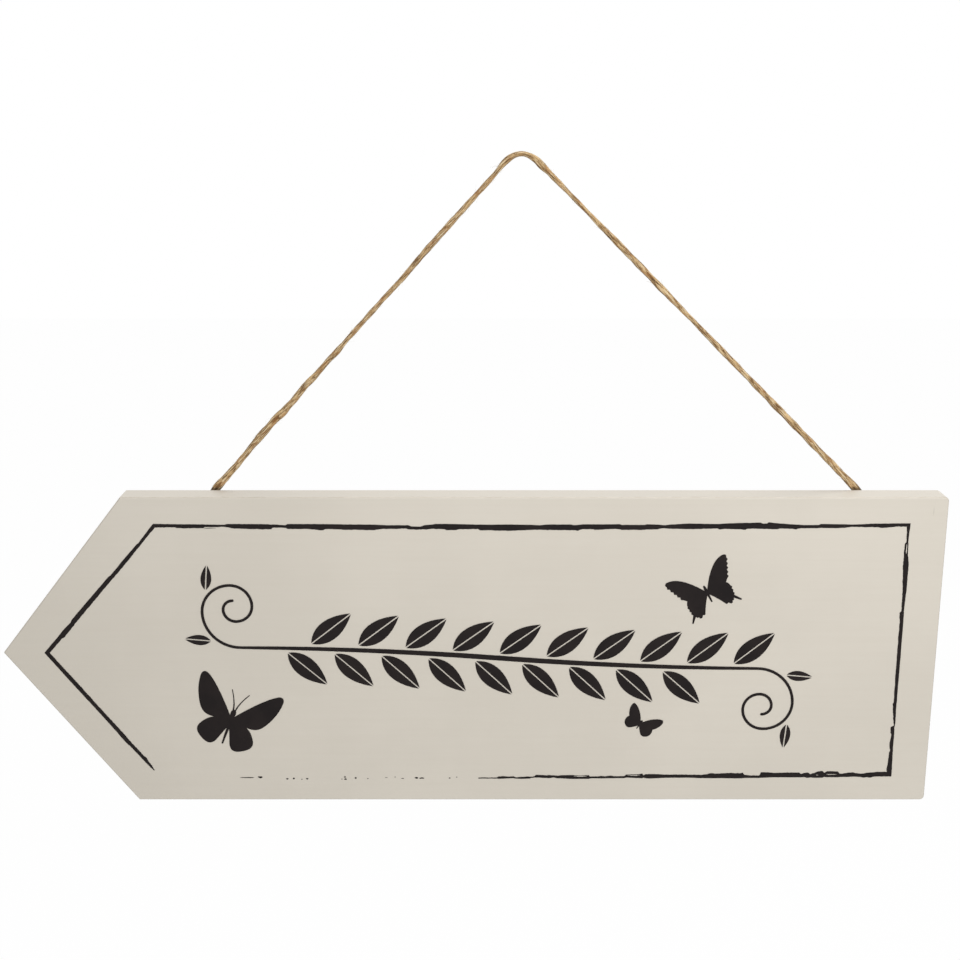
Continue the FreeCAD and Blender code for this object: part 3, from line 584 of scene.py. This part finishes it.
def mark_at(marks, distance):
    """The values at a distance along a line, between the marks before and after it."""
    distances = [mark[0] for mark in marks]
    k = min(max(bisect.bisect_right(distances, distance), 1), len(marks) - 1)
    before, after = marks[k - 1], marks[k]
    share = smooth_step((distance - before[0]) / (after[0] - before[0]))
    return [a + (b - a) * share for a, b in zip(before[1:], after[1:])]


def mesh_object(name, points, faces, material, smooth=False):
    """A new mesh in the scene, with one material."""
    mesh = bpy.data.meshes.new(name)
    mesh.from_pydata(points, [], faces)
    mesh.polygons.foreach_set("use_smooth", [smooth] * len(mesh.polygons))
    mesh.materials.append(material)
    made = bpy.data.objects.new(name, mesh)
    bpy.context.scene.collection.objects.link(made)
    return made


def mesh_piece(name, points, faces, material, smooth):
    """A new mesh that is a piece of the sign."""
    piece = mesh_object(name, points, faces, material, smooth)
    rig.ride(piece, "root")
    return piece


def tube_faces(first, rings, around):
    """The faces of a closed tube whose rings of points follow each other from the first point on."""
    faces = []
    for i in range(rings - 1):
        for k in range(around):
            low = first + i * around
            high = low + around
            after = (k + 1) % around
            faces.append((low + k, low + after, high + after, high + k))
    faces.append(tuple(first + k for k in reversed(range(around))))
    faces.append(tuple(first + (rings - 1) * around + k for k in range(around)))
    return faces


# Cord


def spline_points():
    """Points of the cord's smooth line, read from the NURBS spline through its route."""
    curve = bpy.data.curves.new("cord_line", "CURVE")
    curve.dimensions = "3D"
    curve.resolution_u = CORD_RESOLUTION
    spline = curve.splines.new("NURBS")
    spline.points.add(len(CORD_ROUTE) - 1)
    for point, (x, z) in zip(spline.points, CORD_ROUTE):
        point.co = (x * MM, 0.0, z * MM, 1.0)
    spline.order_u = 3
    spline.use_endpoint_u = True
    line = bpy.data.objects.new("cord_line", curve)
    mesh = bpy.data.meshes.new_from_object(line)
    points = [vertex.co.copy() for vertex in mesh.vertices]
    bpy.data.meshes.remove(mesh)
    bpy.data.objects.remove(line)
    bpy.data.curves.remove(curve)
    return points


def even_points(points, step):
    """Points of the same line, about a step apart."""
    reached = [0.0]
    for before, after in zip(points, points[1:]):
        reached.append(reached[-1] + (after - before).length)
    count = round(reached[-1] / step)
    even = []
    for i in range(count + 1):
        distance = reached[-1] * i / count
        k = min(bisect.bisect_right(reached, distance), len(points) - 1)
        share = (distance - reached[k - 1]) / (reached[k] - reached[k - 1])
        even.append(points[k - 1].lerp(points[k], share))
    return even


def headings(points):
    """The direction of a line at each of its points."""
    last = len(points) - 1
    return [(points[min(i + 1, last)] - points[max(i - 1, 0)]).normalized() for i in range(last + 1)]


def swung(first, second, angle):
    """The direction at an angle from the first direction towards the second."""
    return first * math.cos(angle) + second * math.sin(angle)


class CordLine:
    """The cord's middle line, with the thickness and the turn of its plies along it."""

    def __init__(self):
        self.points = even_points(spline_points(), RING_STEP)
        self.along = headings(self.points)
        self.length = RING_STEP * (len(self.points) - 1)
        heights = [point.z for point in self.points]
        self.hook = heights.index(max(heights)) * RING_STEP

    def marked(self, marks, distance):
        """What the cord's marks say at a distance from its left end, in metres."""
        return mark_at(marks, (distance - self.hook) / MM)[0] * MM

    def size(self, distance, ply):
        """A ply's thickness there over its usual one."""
        uneven = 1 + PLY_UNEVEN * wobble(distance / PLY_UNEVEN_WAVE, 7.3 * ply, 0.4)
        end = min(distance, self.length - distance)
        taper = END_SIZE + (1 - END_SIZE) * smooth_step(end / END_TAPER)
        return self.marked(WIDTH_MARKS, distance) / CORD_DIAMETER * uneven * taper

    def turn(self, distance, ply):
        """The angle at which a ply lies, turning to the left along the cord."""
        drift = wobble(distance / LAY_DRIFT_WAVE, 3.1, 5.2)
        return 2 * math.pi * (ply / PLIES - distance / LAY) + LAY_DRIFT * drift

    def ply_at(self, index, ply):
        """A ply's middle at a ring, swayed, with its outward and sideways directions and its turn."""
        distance = index * RING_STEP
        angle = self.turn(distance, ply)
        up = self.along[index].cross(BACK)
        outward = swung(BACK, up, angle)
        around = swung(up, -BACK, angle)
        offset = PLY_OFFSET * self.size(distance, ply)
        along = (self.along[index] - around * (2 * math.pi * offset / LAY)).normalized()
        middle = self.points[index] + up * self.marked(SWAY_MARKS, distance) + outward * offset
        return middle, outward, along.cross(outward), angle


def press_flat(point):
    """Keeps the cord between the board's back and the staples' crowns where it lies behind the board."""
    share = smooth_step((BOARD_HIGH.z + PRESS_HEIGHT - point.z) / PRESS_LENGTH)
    held = min(max(point.y, -CORD_HALF_ROOM), CORD_HALF_ROOM)
    point.y += share * (held - point.y)
    return point


def ridge(place, ply):
    """How far the fibres stand out at a place on a ply, over its radius."""
    x, y, along = place
    rough = 0.0
    for height, fine_round, fine_along, step in RIDGES:
        rough += height * wobble(x * fine_round, y * fine_round, along * fine_along + step * ply)
    return rough


def ply_ring(line, index, ply):
    """A ring of points round a ply, ridged by its fibres, with each point's place round and along them."""
    distance = index * RING_STEP
    middle, outward, sideways, turn = line.ply_at(index, ply)
    radius = PLY_RADIUS * line.size(distance, ply)
    ring = []
    fibres = []
    for k in range(RING_POINTS):
        angle = 2 * math.pi * k / RING_POINTS
        fibre = angle + FIBRE_TWIST * turn
        place = (math.cos(fibre), math.sin(fibre), distance / FIBRE_UNIT)
        reach = radius * (1 + ridge(place, ply))
        ring.append(press_flat(middle + swung(outward, sideways, angle) * reach))
        fibres.append((place[0], place[1], place[2] + STREAK_PLY_STEP * ply))
    return ring, fibres


def set_fibre(piece, places):
    """Stores for each point its place round and along its fibre, for the jute's streaks."""
    attribute = piece.data.attributes.new("fibre", "FLOAT_VECTOR", "POINT")
    attribute.data.foreach_set("vector", [number for place in places for number in place])


def make_cord(line, material):
    """The rope: one ridged tube for each ply."""
    points = []
    fibres = []
    faces = []
    for ply in range(PLIES):
        faces += tube_faces(len(points), len(line.points), RING_POINTS)
        for index in range(len(line.points)):
            ring, places = ply_ring(line, index, ply)
            points += ring
            fibres += places
    cord = mesh_piece("jute_cord", points, faces, material, True)
    set_fibre(cord, fibres)
    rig.replaces(cord, "hanging_cord")
    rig.slot(cord, "jute")
    return cord


def hair(start, direction, outward, length, curl):
    """The points of the thin tube round a bent fibre, ring by ring."""
    side = direction.cross(outward).normalized()
    points = []
    for i in range(FIBRE_STEPS + 1):
        share = i / FIBRE_STEPS
        middle = start + direction * (length * share) + outward * (curl * share * share)
        radius = FIBRE_RADIUS * (1 - FIBRE_THINNING * share)
        for k in range(FIBRE_SIDES):
            points.append(middle + swung(outward, side, 2 * math.pi * k / FIBRE_SIDES) * radius)
    return points


def stray_fibre(line, draw):
    """A fibre that stands off the cord's surface."""
    index = draw.randrange(STRAY_MARGIN, len(line.points) - STRAY_MARGIN)
    ply = draw.randrange(PLIES)
    middle, outward, sideways, _ = line.ply_at(index, ply)
    away = swung(outward, sideways, draw.uniform(*STRAY_ANGLE))
    start = press_flat(middle + away * (STRAY_ROOT * PLY_RADIUS * line.size(index * RING_STEP, ply)))
    along = line.along[index] * draw.choice((-1, 1))
    direction = along + away * draw.uniform(*STRAY_LIFT) + sideways * draw.uniform(*STRAY_SLANT)
    length = draw.uniform(*STRAY_LENGTH) * MM
    curl = draw.uniform(*STRAY_CURL) * MM
    return hair(start, direction.normalized(), away, length, curl)


def frayed_fibre(line, draw, at_start):
    """A fibre of the loose tuft at one end of the cord."""
    index = FRAYED_RING if at_start else len(line.points) - 1 - FRAYED_RING
    along = line.along[index] * (-1 if at_start else 1)
    away = swung(BACK * FRAYED_FLATNESS, along.cross(BACK), draw.uniform(0, 2 * math.pi))
    start = line.points[index] + away * draw.uniform(*FRAYED_ROOT) * MM
    direction = along + away * draw.uniform(*FRAYED_LIFT)
    length = draw.uniform(*FRAYED_LENGTH) * MM
    curl = draw.uniform(*FRAYED_CURL) * MM
    return hair(start, direction.normalized(), away, length, curl)


def make_fibres(line, material):
    """Stray fibres along the cord and a frayed tuft at each of its ends."""
    draw = random.Random(SEED)
    hairs = [stray_fibre(line, draw) for _ in range(STRAY_FIBRES)]
    for at_start in (True, False):
        hairs += [frayed_fibre(line, draw, at_start) for _ in range(FRAYED_FIBRES)]
    points = []
    fibres = []
    faces = []
    for number, hair_points in enumerate(hairs):
        faces += tube_faces(len(points), FIBRE_STEPS + 1, FIBRE_SIDES)
        points += [press_flat(point) for point in hair_points]
        x, y = math.cos(number), math.sin(number)
        fibres += [(x, y, number + i / FIBRE_STREAK) for i in range(len(hair_points))]
    loose = mesh_piece("jute_fibres", points, faces, material, True)
    set_fibre(loose, fibres)
    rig.slot(loose, "jute")
    return loose


# Border


def on_front(right, up):
    """The place on the front that lies right of the left shoulder and above mid-height, given in mm."""
    return SHOULDER_X + right * MM, MIDDLE_Z + up * MM


def border_corners():
    """The border's corners, clockwise from the lower leg's loose end to the bottom run's loose end."""
    half_height = (BOARD_HIGH.z - MIDDLE_Z) / MM
    top = half_height - BORDER_TOP_INSET
    bottom = BORDER_BOTTOM_INSET - half_height
    end = (BOARD_HIGH.x - SHOULDER_X) / MM - BORDER_END_INSET
    tip = (BORDER_TIP_INSET - TIP_LENGTH, 0.0)
    leg_stop = bottom + BORDER_LEG_GAP
    leg_end = (tip[0] + (tip[1] - leg_stop) * TIP_LENGTH / half_height, leg_stop)
    shoulder = (BORDER_SHOULDER_INSET, top)
    top_end = (end, top + TOP_END_RISE)
    bottom_end = (end, bottom + BOTTOM_END_RISE)
    bottom_start = (BORDER_BOTTOM_START, bottom - BOTTOM_START_DROP)
    return [leg_end, tip, shoulder, top_end, bottom_end, bottom_start]


def half_turn(before, corner, after):
    """The tangent of half the turn to the right at a corner, for the mitre there."""
    first = math.atan2(corner[1] - before[1], corner[0] - before[0])
    second = math.atan2(after[1] - corner[1], after[0] - corner[0])
    turn = math.atan2(math.sin(first - second), math.cos(first - second))
    return math.tan(turn / 2)


class BrushRun:
    """One straight run of the border, seen clockwise, with its outer side on the left."""

    def __init__(self, start, end, marks, slits, mitres, seed):
        self.start = start
        self.marks = marks
        self.slits = slits
        self.mitres = mitres
        self.seed = seed
        self.length = math.dist(start, end)
        self.along = [(b - a) / self.length for a, b in zip(start, end)]

    def fade(self, distance):
        """How far a place is from being at a corner, from 0 to 1."""
        return min(1.0, distance / BRUSH_FADE, (self.length - distance) / BRUSH_FADE)

    def unevenness(self, distance, side):
        """How far the brush strays from the marks there, on one of the line's two sides."""
        rough = sum(height * wobble(distance / wave, side * 5.7, self.seed) for height, wave in RAGGED)
        return rough * self.fade(distance)

    def edges(self, distance):
        """The line's outer and inner edge there, as offsets to the run's outer side."""
        outer, inner = mark_at(self.marks, distance * self.marks[-1][0] / self.length)
        outer += INK_SPREAD + RAGGED_OUTER * self.unevenness(distance, 1)
        inner += INK_SPREAD + RAGGED_INNER * self.unevenness(distance, 2)
        return max(outer, THINNEST_LINE - inner), -inner

    def slit_sides(self, distance, slit):
        """A dry slit's outer and inner side there, as offsets that stay within the line's edges."""
        start, end, across = slit
        opening = SLIT_OPENING + SLIT_UNEVEN * wobble(distance, 2.2, self.seed)
        pointed = math.sin(math.pi * (distance - start) / (end - start))
        half = SLIT_HALF_WIDTH * pointed * max(opening, 0.0)
        outer, inner = self.edges(distance)
        return [min(max(side, inner), outer) for side in (across + half, across - half)]

    def place(self, distance, offset):
        """The point of the front at a distance along the run and an offset to its outer side."""
        lean = self.mitres[0] * max(0.0, 1 - distance / BRUSH_FADE)
        lean -= self.mitres[1] * max(0.0, 1 - (self.length - distance) / BRUSH_FADE)
        forward = distance - lean * offset
        x = self.start[0] + self.along[0] * forward - self.along[1] * offset
        y = self.start[1] + self.along[1] * forward + self.along[0] * offset
        return on_front(x, y)

    def stretches(self):
        """The run cut at the ends of its slits: lists of distances, every second one with its slit."""
        cuts = [0.0] + [cut for slit in self.slits for cut in slit[:2]] + [self.length]
        for i, (start, end) in enumerate(zip(cuts, cuts[1:])):
            steps = round((end - start) / BRUSH_STEP)
            distances = [start + (end - start) * k / steps for k in range(steps + 1)]
            yield distances, self.slits[i // 2] if i % 2 else None

    def ribbons(self):
        """The ink's ribbons as pairs of edges: one between slits, and two beside each slit."""
        for distances, slit in self.stretches():
            outer, inner = zip(*[self.edges(d) for d in distances])
            sides = [outer, inner]
            if slit:
                slit_outer, slit_inner = zip(*[self.slit_sides(d, slit) for d in distances])
                sides = [outer, slit_outer, slit_inner, inner]
            lines = [[self.place(d, offset) for d, offset in zip(distances, side)] for side in sides]
            yield from zip(lines[::2], lines[1::2])


def speck_ribbon(right, up, length, height):
    """A dry speck as the two edges of a small uneven oval."""
    upper = []
    lower = []
    for i in range(SPECK_STEPS + 1):
        share = 2 * i / SPECK_STEPS - 1
        uneven = 1 + SPECK_UNEVEN * wobble(right, share, 1.5)
        half = height / 2 * math.sqrt(1 - share * share) * uneven + SPECK_END
        middle = up + SPECK_SWAY * height * wobble(right, share * 1.5, 8.5)
        upper.append(on_front(right + share * length / 2, middle + half))
        lower.append(on_front(right + share * length / 2, middle - half))
    return upper, lower


def border_ribbons():
    """The ribbons of the border's runs and of the specks near them."""
    corners = border_corners()
    turns = [half_turn(*corners[i - 1:i + 2]) for i in range(1, len(corners) - 1)]
    mitres = [0.0] + turns + [0.0]
    ribbons = []
    for i, (marks, slits) in enumerate(RUNS):
        run = BrushRun(corners[i], corners[i + 1], marks, slits, mitres[i:i + 2], RUN_STEP * i)
        ribbons += run.ribbons()
    return ribbons + [speck_ribbon(*speck) for speck in SPECKS]


def make_border(material):
    """The brush line as a thin film of ink: each ribbon is a flat tube with four points to a ring."""
    ink_y = FRONT_Y - INK_FILM
    points = []
    faces = []
    for outer, inner in border_ribbons():
        faces += tube_faces(len(points), len(outer), RIBBON_SIDES)
        for (outer_x, outer_z), (inner_x, inner_z) in zip(outer, inner):
            points += [(outer_x, ink_y, outer_z), (inner_x, ink_y, inner_z)]
            points += [(inner_x, FRONT_Y, inner_z), (outer_x, FRONT_Y, outer_z)]
    border = mesh_piece("brushed_border", points, faces, material, False)
    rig.replaces(border, "printed_border")
    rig.slot(border, "black_ink")
    return border


# Stage


def white_for_camera(tree):
    """1 for what the camera sees, straight or through a reflection or glass, and 0 for the object's light."""
    path = node(tree, "LightPath")
    seen = maths(tree, "MAXIMUM", path.outputs["Is Camera Ray"], path.outputs["Is Glossy Ray"])
    return maths(tree, "MAXIMUM", seen, path.outputs["Is Transmission Ray"])


def blended(tree, share, first, second):
    """The shader at a share of the way from the first to the second."""
    blend = node(tree, "MixShader", Fac=share)
    plug(tree, blend.inputs[1], first)
    plug(tree, blend.inputs[2], second)
    return blend.outputs["Shader"]


def make_floor():
    """A pale floor under the board, which the camera sees almost as plain white."""
    material = bpy.data.materials.new("studio_floor")
    material.use_nodes = True
    tree = material.node_tree
    tree.nodes.clear()
    matt = node(tree, "BsdfDiffuse", Color=linear(FLOOR_PALE)).outputs["BSDF"]
    white = node(tree, "Emission", Color=WHITE, Strength=1.0).outputs["Emission"]
    share = maths(tree, "MULTIPLY", white_for_camera(tree), FLOOR_WHITE)
    node(tree, "OutputMaterial", Surface=blended(tree, share, matt, white))
    half = FLOOR_SIZE / 2
    height = BOARD_LOW.z - FLOOR_DROP
    corners = [(-half, -half, height), (half, -half, height), (half, half, height), (-half, half, height)]
    floor = mesh_object("studio_floor", corners, [(0, 1, 2, 3)], material)
    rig.stage(floor)


def make_world():
    """Even light from all round, which the camera sees as plain white."""
    world = bpy.data.worlds.new("studio")
    world.use_nodes = True
    tree = world.node_tree
    tree.nodes.clear()
    ambient = node(tree, "Background", Color=WHITE, Strength=AMBIENT).outputs["Background"]
    white = node(tree, "Background", Color=WHITE, Strength=1.0).outputs["Background"]
    node(tree, "OutputWorld", Surface=blended(tree, white_for_camera(tree), ambient, white))
    bpy.context.scene.world = world


def make_lights():
    """The square lamps, all aimed at one point."""
    for name, place, side, watts in LIGHTS:
        lamp = bpy.data.lights.new(name, "AREA")
        lamp.shape = "SQUARE"
        lamp.size = side
        lamp.energy = watts
        light = bpy.data.objects.new(name, lamp)
        light.location = place
        aim = Vector(LIGHT_AIM) - Vector(place)
        light.rotation_euler = aim.to_track_quat("-Z", "Y").to_euler()
        bpy.context.scene.collection.objects.link(light)


def make_camera():
    """The camera, which looks straight towards the wall and a little down."""
    camera = bpy.data.objects.new("camera", bpy.data.cameras.new("camera"))
    camera.data.sensor_width = CAMERA_SENSOR
    camera.data.lens = CAMERA_LENS
    camera.location = CAMERA_PLACE
    camera.rotation_euler = (math.radians(90 - CAMERA_PITCH), 0.0, 0.0)
    bpy.context.scene.collection.objects.link(camera)
    bpy.context.scene.camera = camera


def dress(name, material):
    """Gives a piece that keeps its own shape its finish."""
    piece = frame["nodes"][name]
    piece.data.materials.clear()
    piece.data.materials.append(material)


def main():
    """Sets the stage, makes the cord and the border, and dresses the other pieces."""
    bpy.context.scene.view_settings.view_transform = "Standard"
    make_camera()
    make_world()
    make_floor()
    make_lights()

    fibre_finish = jute()
    line = CordLine()
    cord = make_cord(line, fibre_finish)
    fibres = make_fibres(line, fibre_finish)
    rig.cord(
        cord, exit=line.points[0], length=CORD_LENGTH, diameter=CORD_DIAMETER, far_end="object",
        stiffness="limp", lay="taut", path=line.points, with_pieces=[fibres],
    )

    ink = black_ink()
    make_border(ink)
    dress("printed_branch", ink)
    dress("printed_butterflies", ink)
    dress("board", painted_wood())
    dress("staples", steel_wire())

    boxes = {"cad": CAD_BOX, "visual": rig.bounds()}
    with open("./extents.json", "w") as out:
        json.dump({name: [list(corner) for corner in box] for name, box in boxes.items()}, out)


main()
